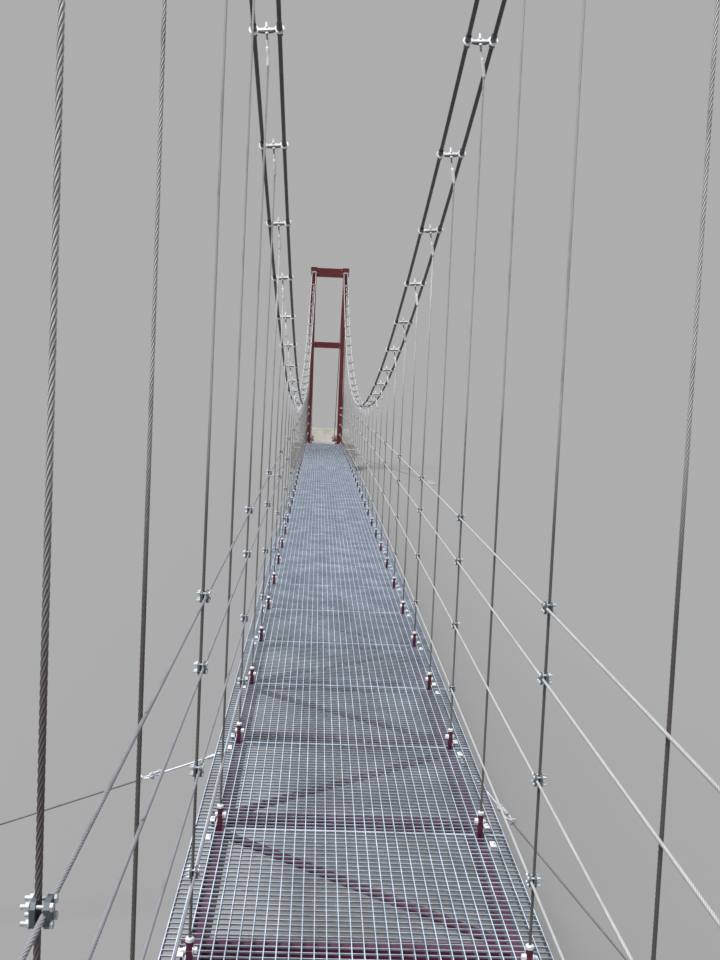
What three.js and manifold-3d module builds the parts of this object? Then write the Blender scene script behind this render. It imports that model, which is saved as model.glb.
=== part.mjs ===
// Rope suspension footbridge, a 1:2 scale model.
// Units are millimetres of the model, so every size is half of the real bridge's.
// The deck runs along Y, +X is to the right of someone who looks along +Y, and +Z is up.
// The origin is on the floor, under the middle of the span.

import * as THREE from "three";
import { mergeVertices } from "three/addons/utils/BufferGeometryUtils.js";
import Module from "manifold-3d";

const wasm = await Module();
wasm.setup();

// Driving dimensions of the span
const bayLength = 500;
const bayCount = 34;
const lastBays = [550, 375];
const cableSag = 1836;
const cableLowAboveDeck = 668;
const deckCamber = 64;
const endDeckZ = 375;
const towerStation = bayCount / 2;
const lastHanger = towerStation - 1;
const lastEvenStation = lastHanger - lastBays.length;
const towerY = towerStation * bayLength;

// Distances from the middle of the walkway
const deckHangerX = 247;
const cableHangerX = 238;
const cablePairSpacing = 57;
const gratingHalfWidth = 294.5;

// Ropes
const cableRadius = 5;
const hangerRadius = 2.3;
const railRadius = 2;
const guyRadius = 2.5;

// Clearances
const seatGap = 0.3;
const deckSeatGap = 0.6;
const deckEndGap = 5;

// Clamps and sockets on the hangers, whose sockets drift to the right on their way down
const yoke = { width: 79, length: 40, height: 20 };
const socket = { radius: 4.3, endBelowCable: 80, leftDrift: 6, rightDrift: 12, grip: 4 };
const lug = { width: 12, length: 12, aboveDeck: 46 };

// Handrail ropes, by their height above the deck, and the clamps that hold them to the hangers
const railHeights = { toe: 143, low: 293, middle: 442, top: 544 };
const railClamp = { size: 18, inward: 5.5, outward: 2.1 };
const railFromHanger = hangerRadius + railRadius + 0.4;

// Deck
const grating = { depth: 13, notchClearance: 2 };
const stringer = { width: 24, height: 50 };
const crossBeam = { halfLength: 270, width: 28, height: 26, beyondStation: 100 };
const brace = { width: 22, height: 6, belowTop: 20, endFromBeam: 45 };

// Portal towers and what they stand on
const post = { width: 76, topBelowCable: 50 };
const basePlate = { size: 130, thickness: 12 };
const topBeam = { height: 128, depth: 70, topAboveCable: 60 };
const portalBeam = { height: 86, depth: 60, topBelowCable: 1040 };
const saddle = { width: 94, length: 80, cheek: 10, cover: 56, topAboveCable: 70 };
const abutment = { halfWidth: 480, behindTower: 450, beforeTower: 75, ledge: 300 };

// Backstays and their anchor blocks
const backstay = { run: 3250, anchorZ: 300 };
const anchorPlate = { width: 130, height: 110, thickness: 20 };
const anchorBlock = { halfWidth: 480, length: 800, height: 460, frontHeight: 140 };

// Wind guys, which are turned half a turn about the middle of the span from one end to the other
const guy = { station: 12, belowDeck: 23.6, shackle: 20 };
const guyScrew = { start: 30, length: 150, radius: 6 };
const guyFoot = { plate: 110, plateThickness: 12, eye: 30, eyeHeight: 36 };
const guyAnchors = {
  near_left: { x: -1455, y: -6250 },
  near_right: { x: 675, y: -6600 },
  far_left: { x: -675, y: 6600 },
  far_right: { x: 1455, y: 6250 },
};

// Finishes, each a colour, a roughness and a metalness
const redPaint = [0x6e1a26, 0.45, 0.1];
const galvanised = [0xa9b2bc, 0.45, 0.8];
const steelRope = [0x6f7275, 0.55, 0.7];
const concrete = [0x9c968a, 0.9, 0];

// The two sides and the two ends of the bridge, as signs along X and Y
const sides = { left: -1, right: 1 };
const ends = { near: -1, far: 1 };

// Heights and places along the span

// Hangers stand a bay apart, but for the last ones at each end
function stationY(station) {
  const evenBays = Math.min(Math.abs(station), lastEvenStation);
  const unevenBays = lastBays.slice(0, Math.abs(station) - evenBays);
  const fromMiddle = unevenBays.reduce((sum, bay) => sum + bay, evenBays * bayLength);
  return Math.sign(station) * fromMiddle;
}

function deckTop(y) {
  return endDeckZ + deckCamber * (1 - (y / towerY) ** 2);
}

function frameTop(y) {
  return deckTop(y) - grating.depth - deckSeatGap;
}

function cableHeight(y) {
  return endDeckZ + deckCamber + cableLowAboveDeck + cableSag * (y / towerY) ** 2;
}

// The direction of the cables at a place along the span
function cableDirection(y) {
  return new THREE.Vector3(0, 1, (2 * cableSag * y) / towerY ** 2).normalize();
}

function lugTop(side, y) {
  return new THREE.Vector3(side * deckHangerX, y, deckTop(y) + lug.aboveDeck);
}

function socketEnd(side, y) {
  const drift = side < 0 ? socket.leftDrift : socket.rightDrift;
  return new THREE.Vector3(side * cableHangerX + drift, y, cableHeight(y) - socket.endBelowCable);
}

// The place of a hanger's rope, which runs straight from its lug to its socket, at a height above the deck
function hangerPlace(side, y, aboveDeck) {
  const bottom = lugTop(side, y);
  const top = socketEnd(side, y);
  return bottom.clone().lerp(top, (aboveDeck - lug.aboveDeck) / (top.z - bottom.z));
}

const towerCableZ = cableHeight(towerY);
const postTopZ = towerCableZ - post.topBelowCable;
const deckEndY = towerY - abutment.beforeTower - deckEndGap;
const endBeamY = deckEndY - crossBeam.width / 2;
const anchorY = towerY + backstay.run;
const stayLength = Math.hypot(backstay.run, towerCableZ - backstay.anchorZ);
const stayForward = backstay.run / stayLength;
const stayDown = (towerCableZ - backstay.anchorZ) / stayLength;
const hangerStations = [];
for (let station = -lastHanger; station <= lastHanger; station++) {
  hangerStations.push(station);
}

// The main cables and the deck come in three lengths, which meet between two stations
const cutY = 5.5 * bayLength;
const spanLengths = {
  near: [-towerY, -cutY],
  middle: [-cutY, cutY],
  far: [cutY, towerY],
};

// Solids

function solid(geometry) {
  geometry.deleteAttribute("normal");
  geometry.deleteAttribute("uv");
  const merged = mergeVertices(geometry, 1e-4);
  const mesh = new wasm.Mesh({
    numProp: 3,
    vertProperties: new Float32Array(merged.attributes.position.array),
    triVerts: new Uint32Array(merged.index.array),
  });
  return new wasm.Manifold(mesh);
}

function join(solids) {
  return solids.reduce((whole, piece) => whole.add(piece));
}

function box(width, length, height, x, y, z) {
  return solid(new THREE.BoxGeometry(width, length, height).translate(x, y, z));
}

// Moves a geometry that stands along Y so that it runs from one point to another
function layAlong(geometry, from, to) {
  const along = to.clone().sub(from).normalize();
  const middle = from.clone().lerp(to, 0.5);
  const turn = new THREE.Quaternion().setFromUnitVectors(new THREE.Vector3(0, 1, 0), along);
  return solid(geometry.applyQuaternion(turn).translate(middle.x, middle.y, middle.z));
}

function rod(from, to, radius, sideCount = 4) {
  return layAlong(new THREE.CylinderGeometry(radius, radius, from.distanceTo(to), sideCount), from, to);
}

function flatBar(from, to, width, height) {
  return layAlong(new THREE.BoxGeometry(width, from.distanceTo(to), height), from, to);
}

// A rope of few sides along a curve
function ropeAlong(curve, radius, steps, sideCount = 4) {
  const section = new THREE.Shape();
  for (let side = 0; side < sideCount; side++) {
    const angle = (2 * Math.PI * side) / sideCount;
    const place = [radius * Math.cos(angle), radius * Math.sin(angle)];
    if (side === 0) {
      section.moveTo(...place);
    } else {
      section.lineTo(...place);
    }
  }
  return solid(new THREE.ExtrudeGeometry(section, { steps, extrudePath: curve, bevelEnabled: false }));
}

// A side view, given as points [y, z], made as wide as asked and centred on x
function sideProfile(points, width, x) {
  const outline = new THREE.Shape(points.map(([y, z]) => new THREE.Vector2(y, z)));
  const geometry = new THREE.ExtrudeGeometry(outline, { depth: width, bevelEnabled: false });
  const axes = [new THREE.Vector3(0, 1, 0), new THREE.Vector3(0, 0, 1), new THREE.Vector3(1, 0, 0)];
  geometry.applyMatrix4(new THREE.Matrix4().makeBasis(...axes));
  return solid(geometry.translate(x - width / 2, 0, 0));
}

// A straight strip that follows the camber of the deck from end to end
function camberedStrip(top, depth, width, x) {
  const places = [-deckEndY, ...hangerStations.map(stationY), deckEndY];
  const above = places.map((y) => [y, top(y)]);
  const below = places.map((y) => [y, top(y) - depth]);
  return sideProfile([...below, ...above.reverse()], width, x);
}

// The part of a solid that lies in one of the three lengths of the span
function lengthOf(whole, [fromY, toY]) {
  const big = 4 * towerCableZ;
  const cutter = box(big, toY - fromY - seatGap, big, 0, (fromY + toY) / 2, 0);
  return whole.intersect(cutter);
}

const bridge = new THREE.Group();

function addPiece(name, whole, [color, roughness, metalness]) {
  const made = whole.getMesh();
  const geometry = new THREE.BufferGeometry();
  geometry.setAttribute("position", new THREE.BufferAttribute(new Float32Array(made.vertProperties), 3));
  geometry.setIndex(new THREE.BufferAttribute(new Uint32Array(made.triVerts), 1));
  geometry.computeVertexNormals();
  const mesh = new THREE.Mesh(geometry, new THREE.MeshStandardMaterial({ color, roughness, metalness }));
  mesh.name = name;
  bridge.add(mesh);
}

// Main cables, in pairs, with the yokes, sockets, hangers and lugs that they carry

// The curve runs a little past the towers, where the lengths and the backstays are cut square
class CableCurve extends THREE.Curve {
  constructor(x) {
    super();
    this.x = x;
  }

  getPoint(t, target = new THREE.Vector3()) {
    const endY = towerY + 2 * cableRadius;
    const y = THREE.MathUtils.lerp(-endY, endY, t);
    return target.set(this.x, y, cableHeight(y));
  }
}

function hanger(side, station) {
  const y = stationY(station);
  const head = new THREE.Vector3(side * cableHangerX, y, cableHeight(y));
  const yokeStart = head.clone().addScaledVector(cableDirection(y), -yoke.length / 2);
  const yokeEnd = head.clone().addScaledVector(cableDirection(y), yoke.length / 2);
  const ropeTop = hangerPlace(side, y, head.z - socket.endBelowCable + socket.grip - deckTop(y));
  const ropeBottom = hangerPlace(side, y, lug.aboveDeck - lug.length / 2);
  const lugBottomZ = frameTop(y) + seatGap;
  const lugHeight = deckTop(y) + lug.aboveDeck - lugBottomZ;
  return [
    flatBar(yokeStart, yokeEnd, yoke.width, yoke.height),
    rod(head, socketEnd(side, y), socket.radius),
    rod(ropeTop, ropeBottom, hangerRadius),
    box(lug.width, lug.length, lugHeight, side * deckHangerX, y, lugBottomZ + lugHeight / 2),
  ];
}

function mainCables(side) {
  const pair = [-0.5, 0.5].map((place) => {
    const curve = new CableCurve(side * cableHangerX + place * cablePairSpacing);
    return ropeAlong(curve, cableRadius, bayCount);
  });
  return join([...pair, ...hangerStations.flatMap((station) => hanger(side, station))]);
}

for (const [sideName, side] of Object.entries(sides)) {
  const whole = mainCables(side);
  for (const [lengthName, span] of Object.entries(spanLengths)) {
    addPiece(`main_cables_${sideName}_${lengthName}`, lengthOf(whole, span), steelRope);
  }
}

// Handrail ropes, clamped to every second hanger and fixed to the tower posts

function handrail(side, aboveDeck) {
  const clampYs = hangerStations.filter((station) => station % 2 === 0).map(stationY);
  const besideHanger = (y, height, inward) => {
    return hangerPlace(side, y, height).add(new THREE.Vector3(-side * inward, 0, 0));
  };
  const postFaceY = towerY - post.width / 2 - seatGap;
  const ropeYs = [-postFaceY, ...clampYs, postFaceY];
  const curve = new THREE.CatmullRomCurve3(ropeYs.map((y) => besideHanger(y, aboveDeck, railFromHanger)));
  const rope = ropeAlong(curve, railRadius, clampYs.length + 1);
  const clampInward = railFromHanger + (railClamp.inward - railClamp.outward) / 2;
  const clamps = clampYs.map((y) => {
    const bottom = besideHanger(y, aboveDeck - railClamp.size / 2, clampInward);
    const top = besideHanger(y, aboveDeck + railClamp.size / 2, clampInward);
    return flatBar(bottom, top, railClamp.inward + railClamp.outward, railClamp.size);
  });
  return join([rope, ...clamps]);
}

for (const [sideName, side] of Object.entries(sides)) {
  for (const [railName, aboveDeck] of Object.entries(railHeights)) {
    addPiece(`handrail_${railName}_${sideName}`, handrail(side, aboveDeck), galvanised);
  }
}

// Deck frame: a stringer under each row of lugs, a shallow cross beam a little beyond each station, an end
// beam at each end, and braces that zigzag between the cross beams

function crossBeamY(station) {
  return stationY(station) + crossBeam.beyondStation;
}

function braceEnd(side, station, fromBeam) {
  const y = crossBeamY(station) + fromBeam;
  return new THREE.Vector3(side * deckHangerX, y, frameTop(y) - brace.belowTop);
}

function crossBeamAt(y) {
  const middleZ = frameTop(y) - crossBeam.height / 2;
  return box(2 * crossBeam.halfLength, crossBeam.width, crossBeam.height, 0, y, middleZ);
}

function deckFrame() {
  const stringers = Object.values(sides).map((side) => {
    return camberedStrip(frameTop, stringer.height, stringer.width, side * deckHangerX);
  });
  const crossBeams = [crossBeamAt(-endBeamY), crossBeamAt(endBeamY)];
  const braces = [];
  for (const station of hangerStations) {
    crossBeams.push(crossBeamAt(crossBeamY(station)));
    if (station < lastHanger) {
      const side = station % 2 === 0 ? sides.right : sides.left;
      const from = braceEnd(side, station, brace.endFromBeam);
      const to = braceEnd(-side, station + 1, -brace.endFromBeam);
      braces.push(flatBar(from, to, brace.width, brace.height));
    }
  }
  return join([...stringers, ...crossBeams, ...braces]);
}

// Grating, a panel to a bay, notched round each lug

function deckGrating() {
  const slab = camberedStrip(deckTop, grating.depth, 2 * gratingHalfWidth, 0);
  const notches = hangerStations.flatMap((station) => {
    const y = stationY(station);
    return Object.values(sides).map((side) => {
      const width = lug.width + 2 * grating.notchClearance;
      const length = lug.length + 2 * grating.notchClearance;
      return box(width, length, 4 * grating.depth, side * deckHangerX, y, deckTop(y));
    });
  });
  return slab.subtract(join(notches));
}

const wholeFrame = deckFrame();
const wholeGrating = deckGrating();
for (const [lengthName, span] of Object.entries(spanLengths)) {
  addPiece(`deck_frame_${lengthName}`, lengthOf(wholeFrame, span), redPaint);
  addPiece(`grating_${lengthName}`, lengthOf(wholeGrating, span), galvanised);
}

// Portal towers

function towerPost(side, end) {
  const bottomZ = endDeckZ + seatGap;
  const x = side * cableHangerX;
  const y = end * towerY;
  const height = postTopZ - bottomZ;
  return join([
    box(post.width, post.width, height, x, y, bottomZ + height / 2),
    box(basePlate.size, basePlate.size, basePlate.thickness, x, y, bottomZ + basePlate.thickness / 2),
  ]);
}

// A beam that stops short of the middle of each post
function towerBeam(end, fromPostMiddle, depth, bottomZ, topZ) {
  const length = 2 * (cableHangerX - fromPostMiddle - seatGap);
  return box(length, depth, topZ - bottomZ, 0, end * towerY, (topZ + bottomZ) / 2);
}

// The top beam meets the posts below the saddles and the saddles above, which are wider
function towerTopBeam(end) {
  const topZ = towerCableZ + topBeam.topAboveCable;
  return join([
    towerBeam(end, post.width / 2, topBeam.depth, topZ - topBeam.height, postTopZ),
    towerBeam(end, saddle.width / 2, topBeam.depth, postTopZ, topZ),
  ]);
}

function towerPortalBeam(end) {
  const topZ = towerCableZ - portalBeam.topBelowCable;
  return towerBeam(end, post.width / 2, portalBeam.depth, topZ - portalBeam.height, topZ);
}

// A cable saddle, with a floor that falls away under the ropes on each side, two cheeks and a cover
function cableSaddle(side, end) {
  const x = side * cableHangerX;
  const y = end * towerY;
  const half = saddle.length / 2;
  const bottomZ = postTopZ + seatGap;
  const floorZ = towerCableZ - cableRadius / stayForward - seatGap;
  const spanFall = (2 * cableSag) / towerY;
  const stayFall = stayDown / stayForward;
  const outline = [
    [y - end * half, bottomZ],
    [y + end * half, bottomZ],
    [y + end * half, floorZ - stayFall * half],
    [y, floorZ],
    [y - end * half, floorZ - spanFall * half],
  ];
  const floor = sideProfile(outline, saddle.width, x);
  const topZ = towerCableZ + saddle.topAboveCable;
  const cheeks = [-1, 1].map((place) => {
    const cheekX = x + (place * (saddle.width - saddle.cheek)) / 2;
    return box(saddle.cheek, saddle.length, topZ - bottomZ, cheekX, y, (topZ + bottomZ) / 2);
  });
  const cover = box(saddle.width, saddle.length, saddle.cover, x, y, topZ - saddle.cover / 2);
  return join([floor, ...cheeks, cover]);
}

// Concrete under the tower, with a lower ledge in front that carries the end of the deck
function towerAbutment(end) {
  const ledgeZ = frameTop(deckEndY) - stringer.height - seatGap;
  const outline = [
    [towerY + abutment.behindTower, 0],
    [towerY + abutment.behindTower, endDeckZ],
    [towerY - abutment.beforeTower, endDeckZ],
    [towerY - abutment.beforeTower, ledgeZ],
    [towerY - abutment.beforeTower - abutment.ledge, ledgeZ],
    [towerY - abutment.beforeTower - abutment.ledge, 0],
  ];
  return sideProfile(outline.map(([y, z]) => [end * y, z]), 2 * abutment.halfWidth, 0);
}

// Backstays, a pair of ropes that end in a plate on the sloping face of the anchor block

// The point that lies some distance before the anchor block's face, on the line of the stay
function stayPoint(x, end, beforeFace) {
  const y = anchorY - stayForward * beforeFace;
  return new THREE.Vector3(x, end * y, backstay.anchorZ + stayDown * beforeFace);
}

function backstayPair(side, end) {
  const x = side * cableHangerX;
  const ropes = [-0.5, 0.5].map((place) => {
    const ropeX = x + place * cablePairSpacing;
    const pastTop = stayPoint(ropeX, end, stayLength + 2 * cableRadius);
    return rod(pastTop, stayPoint(ropeX, end, anchorPlate.thickness), cableRadius);
  });
  const cutMiddleY = end * (towerY + backstay.run + seatGap / 2);
  const behindTower = box(2 * anchorPlate.width, 2 * backstay.run, 4 * towerCableZ, x, cutMiddleY, 0);
  const plateFront = stayPoint(x, end, seatGap + anchorPlate.thickness);
  const plate = flatBar(plateFront, stayPoint(x, end, seatGap), anchorPlate.width, anchorPlate.height);
  return join([...ropes, plate]).intersect(behindTower);
}

function anchorBlockAt(end) {
  const rise = anchorBlock.height - anchorBlock.frontHeight;
  const set = (rise * stayDown) / stayForward;
  const frontY = anchorY - ((backstay.anchorZ - anchorBlock.frontHeight) * stayDown) / stayForward;
  const outline = [
    [frontY, 0],
    [frontY + anchorBlock.length, 0],
    [frontY + anchorBlock.length, anchorBlock.height],
    [frontY + set, anchorBlock.height],
    [frontY, anchorBlock.frontHeight],
  ];
  return sideProfile(outline.map(([y, z]) => [end * y, z]), 2 * anchorBlock.halfWidth, 0);
}

for (const [endName, end] of Object.entries(ends)) {
  addPiece(`tower_${endName}_top_beam`, towerTopBeam(end), redPaint);
  addPiece(`tower_${endName}_portal_beam`, towerPortalBeam(end), redPaint);
  addPiece(`tower_${endName}_abutment`, towerAbutment(end), concrete);
  addPiece(`anchor_block_${endName}`, anchorBlockAt(end), concrete);
  for (const [sideName, side] of Object.entries(sides)) {
    addPiece(`tower_${endName}_post_${sideName}`, towerPost(side, end), redPaint);
    addPiece(`tower_${endName}_saddle_${sideName}`, cableSaddle(side, end), redPaint);
    addPiece(`backstay_${endName}_${sideName}`, backstayPair(side, end), steelRope);
  }
}

// Wind guys: a shackle on a stringer, a tightening screw, a rope, and an eye on a plate on the floor

function windGuy(anchor) {
  const side = Math.sign(anchor.x);
  const y = stationY(Math.sign(anchor.y) * guy.station);
  const shackleX = side * (deckHangerX + stringer.width / 2 + seatGap + guy.shackle / 2);
  const top = new THREE.Vector3(shackleX, y, deckTop(y) - guy.belowDeck);
  const bottom = new THREE.Vector3(anchor.x, anchor.y, guyFoot.plateThickness + guyFoot.eyeHeight / 2);
  const along = bottom.clone().sub(top).normalize();
  const screwTop = top.clone().addScaledVector(along, guyScrew.start);
  const screwBottom = top.clone().addScaledVector(along, guyScrew.start + guyScrew.length);
  return join([
    box(guy.shackle, guy.shackle, guy.shackle, top.x, top.y, top.z),
    rod(top, bottom, guyRadius),
    rod(screwTop, screwBottom, guyScrew.radius, 6),
    box(guyFoot.eye, guyFoot.eye, guyFoot.eyeHeight, bottom.x, bottom.y, bottom.z),
    box(guyFoot.plate, guyFoot.plate, guyFoot.plateThickness, bottom.x, bottom.y, guyFoot.plateThickness / 2),
  ]);
}

for (const [guyName, anchor] of Object.entries(guyAnchors)) {
  addPiece(`wind_guy_${guyName}`, windGuy(anchor), galvanised);
}

export default bridge;
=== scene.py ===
# Looks of the rope suspension footbridge, a 1:2 scale model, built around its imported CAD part.
# Units are metres of the model, so every size is half of the real bridge's.
# The deck runs along Y, +X is to the right of someone who looks along +Y, and +Z is up.

import math
import random

import bpy
from mathutils import Matrix, Vector


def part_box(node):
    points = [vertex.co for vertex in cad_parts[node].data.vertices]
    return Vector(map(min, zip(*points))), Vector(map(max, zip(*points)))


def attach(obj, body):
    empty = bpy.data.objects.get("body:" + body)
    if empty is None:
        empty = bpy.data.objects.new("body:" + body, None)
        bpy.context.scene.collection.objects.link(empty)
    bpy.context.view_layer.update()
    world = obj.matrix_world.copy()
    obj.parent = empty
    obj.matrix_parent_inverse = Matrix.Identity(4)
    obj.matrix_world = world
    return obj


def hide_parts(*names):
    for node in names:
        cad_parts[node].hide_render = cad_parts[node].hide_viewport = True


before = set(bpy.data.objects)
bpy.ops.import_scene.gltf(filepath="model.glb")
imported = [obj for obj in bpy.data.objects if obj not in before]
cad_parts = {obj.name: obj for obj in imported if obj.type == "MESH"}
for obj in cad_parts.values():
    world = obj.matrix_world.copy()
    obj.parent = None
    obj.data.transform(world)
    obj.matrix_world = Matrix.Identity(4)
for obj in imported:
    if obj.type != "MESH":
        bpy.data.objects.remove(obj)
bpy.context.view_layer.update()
random.seed(7)

# Sizes of the span, as in the CAD part
BAY = 0.5
LAST_BAYS = (0.55, 0.375)
TOWER_Y = 8.5
LAST_HANGER = 16
BAY_COUNT = round(2 * TOWER_Y / BAY)
END_DECK_Z = 0.375
CAMBER = 0.064
CABLE_LOW = 0.668
SAG = 1.836
DECK_HANGER_X = 0.247
CABLE_HANGER_X = 0.238
PAIR_SPACING = 0.057
DECK_END_Y = 8.42
STATIONS = range(-LAST_HANGER, LAST_HANGER + 1)
SIDES = {"left": -1, "right": 1}
ENDS = {"near": -1, "far": 1}
CORNERS = ((-1, -1), (-1, 1), (1, -1), (1, 1))
UP = Vector((0, 0, 1))

# The CAD part divides the cables, the deck frame and the grating into three lengths
LENGTH_JOINT_Y = 2.75
LENGTHS = {
    "near": (-TOWER_Y, -LENGTH_JOINT_Y),
    "middle": (-LENGTH_JOINT_Y, LENGTH_JOINT_Y),
    "far": (LENGTH_JOINT_Y, TOWER_Y),
}

# Ropes. Hangers up to the last stranded station are close to the camera and have modelled strands.
CABLE_RADIUS = 0.005
HANGER_RADIUS = 0.0023
RAIL_RADIUS = 0.002
GUY_RADIUS = 0.0021
LAY_PER_DIAMETER = 7.5
GROOVE_SHARE = 0.86
STRANDED_CORNERS = 12
STEPS_PER_LAY = 12
PLAIN_STEP = 0.25
LAST_STRANDED_STATION = -11
CABLE_STEPS = 8 * BAY_COUNT
RAIL_STEPS = 4 * BAY_COUNT

# Nuts, in shares of their thickness or of their size across
WASHER_THICKNESS = 0.22
WASHER_RADIUS = 0.66
NUT_CORNER_RADIUS = 0.577
BOLT_RADIUS = 0.31

# Fittings on the hangers, whose yokes are rolled and whose sockets lean a little to the right
YOKE_LENGTH = 0.04
YOKE_ROLL = 0.07
SOCKET_TOP = 0.022
SOCKET_WAIST = 0.038
SOCKET_END = 0.080
SOCKET_DRIFTS = {-1: 0.006, 1: 0.012}
LUG_HEIGHT = 0.046
RAIL_HEIGHTS = {"toe": 0.143, "low": 0.293, "middle": 0.442, "top": 0.544}
ROPE_GAP = 0.0004
RAIL_FROM_HANGER = HANGER_RADIUS + RAIL_RADIUS + ROPE_GAP

# Grating
BAR_COUNT = 32
BAR_PITCH = 0.01895
BAR_WIDTH = 0.0015
BAR_DEPTH = 0.0125
CROSS_ROD_COUNT = 29
CROSS_ROD_WIDTH = 0.0013
CROSS_ROD_DEPTH = 0.0029
CROSS_ROD_BELOW_TOP = 0.0005
END_BAR_WIDTH = 0.0024
END_BAR_DEPTH = 0.004
PANEL_GAP = 0.0012
CLIP_X = 0.2653
CLIP_OFFSETS = (-0.045, 0.040)

# Wind guys
GUY_Y = 6.0
GUY_TOP_X = 0.2693
GUY_TOP_BELOW_DECK = 0.0236
GUY_PLATE_WIDTH = 0.11
GUY_PLATE_THICKNESS = 0.012
GUY_EYE_Z = 0.030
GUY_BOLT_REACH = 0.040

# Towers. What is added stands a hair off the CAD faces.
HAIR = 0.0003
POST_WIDTH = 0.076
POST_FACE_Y = TOWER_Y - POST_WIDTH / 2
RAIL_END_FITTING = 0.055
RAIL_END_Y = POST_FACE_Y - RAIL_END_FITTING
SADDLE_WIDTH = 0.094
SADDLE_BOLT_SPACING = 0.025
SADDLE_BOLTS_ABOVE_CABLE = 0.045
PORTAL_BEAM_Z = (1.817, 1.903)
TOP_BEAM_ABOVE_CABLE = 0.060
TOP_JOINT_BELOW_BEAM_TOP = 0.053
TOP_JOINT_SIZE = (0.086, 0.070)
PORTAL_JOINT_SIZE = (0.080, 0.060)
JOINT_PLATE_THICKNESS = 0.007
BASE_PLATE_THICKNESS = 0.012
BASE_BOLT_REACH = 0.052
GUSSET_REACH = 0.061
GUSSET_TIP = 0.020
GUSSET_TOP = 0.085
GUSSET_HALF_THICKNESS = 0.003

# Backstays and anchor blocks, with places on a stay measured from its block's face
BACKSTAY_RUN = 3.25
ANCHOR_Z = 0.3
ANCHOR_PLATE = (0.13, 0.11, 0.02)
ANCHOR_BOLT_FROM_EDGE = 0.016
STAY_SOCKET_TOP = 0.52
STAY_SOCKET_END = 0.36
STAY_LOCK_NUTS = (0.3, 0.3 - 0.018)
STAY_NUT_SIZE = 0.026

# Widths of the soft edges on the CAD nodes that stay
CONCRETE_EDGE = 0.012
TOWER_EDGE = 0.004
DECK_EDGE = 0.0015


def station_y(station):
    """Hangers stand a bay apart, but for the last ones at each end"""
    even_bays = min(abs(station), LAST_HANGER - len(LAST_BAYS))
    return math.copysign(even_bays * BAY + sum(LAST_BAYS[:abs(station) - even_bays]), station)


def deck_top(y):
    return END_DECK_Z + CAMBER * (1 - (y / TOWER_Y) ** 2)


def cable_z(y):
    return END_DECK_Z + CAMBER + CABLE_LOW + SAG * (y / TOWER_Y) ** 2


def cable_slope(y):
    return math.atan(2 * SAG * y / TOWER_Y**2)


def hanger_x(side, y, above_deck):
    """A hanger runs from its lug to the lower end of its socket"""
    foot_x, top_x = side * DECK_HANGER_X, side * CABLE_HANGER_X + SOCKET_DRIFTS[side]
    length = cable_z(y) - SOCKET_END - deck_top(y) - LUG_HEIGHT
    return foot_x + (top_x - foot_x) * (above_deck - LUG_HEIGHT) / length


def frame_turned(origin, along):
    """A matrix whose Z axis runs along a direction, turned the same way for each rod of a kind"""
    z = along.normalized()
    nearby = Vector((0, 1, 0)) if abs(z.x) > 0.9 else Vector((1, 0, 0))
    y = z.cross(nearby).normalized()
    x = y.cross(z)
    turned = Matrix((x, y, z)).transposed().to_4x4()
    turned.translation = origin
    return turned


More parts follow.
